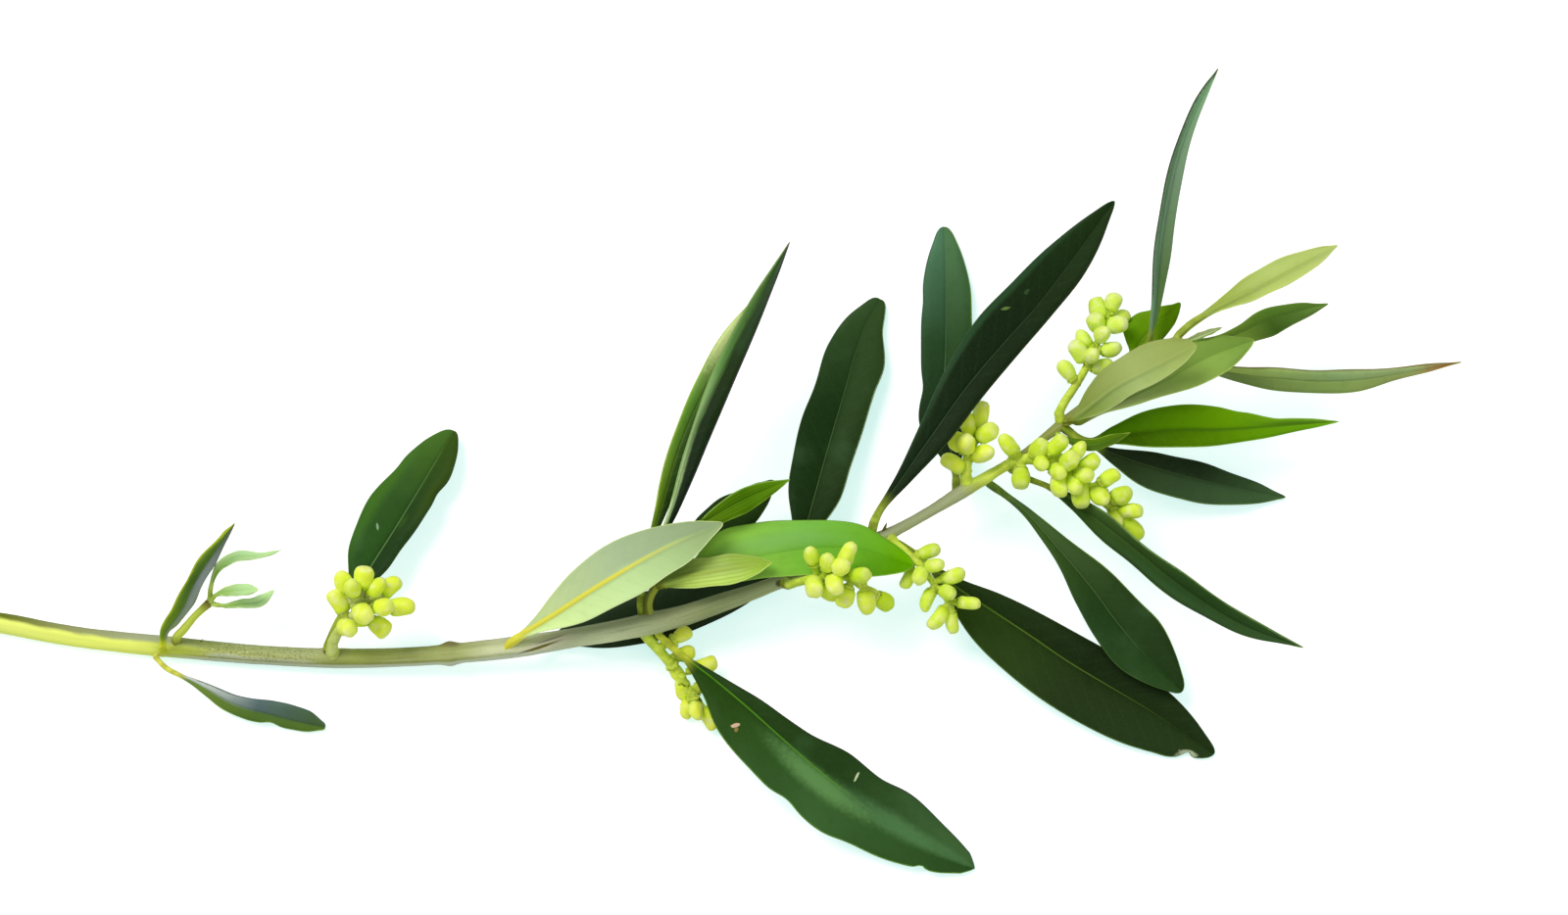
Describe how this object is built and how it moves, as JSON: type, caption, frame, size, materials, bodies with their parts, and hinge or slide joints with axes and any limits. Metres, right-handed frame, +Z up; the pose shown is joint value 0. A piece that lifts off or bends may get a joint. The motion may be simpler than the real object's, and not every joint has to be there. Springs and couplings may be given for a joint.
{
  "type": "olive branch in bud",
  "caption": "Cut olive branch in bud, lying flat: woody stem with side shoots, narrow leathery leaves, dark above and pale below, and clusters of closed flower buds.",
  "frame": {"origin": "middle of the footprint, on the surface that the branch lies on", "axes": "+X runs along the branch from its cut end to its tip, and +Z is up from the surface"},
  "size_m": [0.2592, 0.1374, 0.0333],
  "materials": {
    "bark": "grey-olive bark, matte, faintly ridged, with pale specks",
    "green_shoot": "smooth yellow-green young bark",
    "old_leaf": "dark green leathery leaf with a waxy sheen",
    "young_leaf": "bright green leaf with a soft sheen",
    "leaf_underside": "pale matte leaf underside with a yellow midrib",
    "bud": "smooth yellow-green closed bud"
  },
  "bodies": {
    "root": {"main_stem": "bark", "side_shoot_1": "green_shoot", "side_shoot_2": "green_shoot", "leaf_01": "old_leaf", "leaf_02": "old_leaf", "leaf_03": "old_leaf", "leaf_04": "leaf_underside", "leaf_05": "old_leaf", "leaf_06": "young_leaf", "leaf_07": "old_leaf", "leaf_08": "old_leaf", "leaf_09": "young_leaf", "leaf_10": "young_leaf", "leaf_11": "leaf_underside", "leaf_12": "old_leaf", "leaf_13": "old_leaf", "leaf_14": "old_leaf", "leaf_15": "old_leaf", "leaf_16": "old_leaf", "leaf_17": "old_leaf", "leaf_18": "old_leaf", "leaf_19": "old_leaf", "leaf_20": "young_leaf", "leaf_21": "old_leaf", "leaf_22": "leaf_underside", "leaf_23": "young_leaf", "leaf_24": "young_leaf", "leaf_25": "old_leaf", "leaf_26": "leaf_underside", "leaf_27": "old_leaf", "leaf_28": "old_leaf", "leaf_29": "young_leaf", "young_leaf_1": "young_leaf", "young_leaf_2": "young_leaf", "young_leaf_3": "young_leaf", "bud_cluster_1": "bud", "bud_cluster_2": "bud", "bud_cluster_3": "bud", "bud_cluster_4": "bud", "bud_cluster_5": "bud", "bud_cluster_6": "bud", "bud_cluster_7": "bud"}
  },
  "joints": []
}
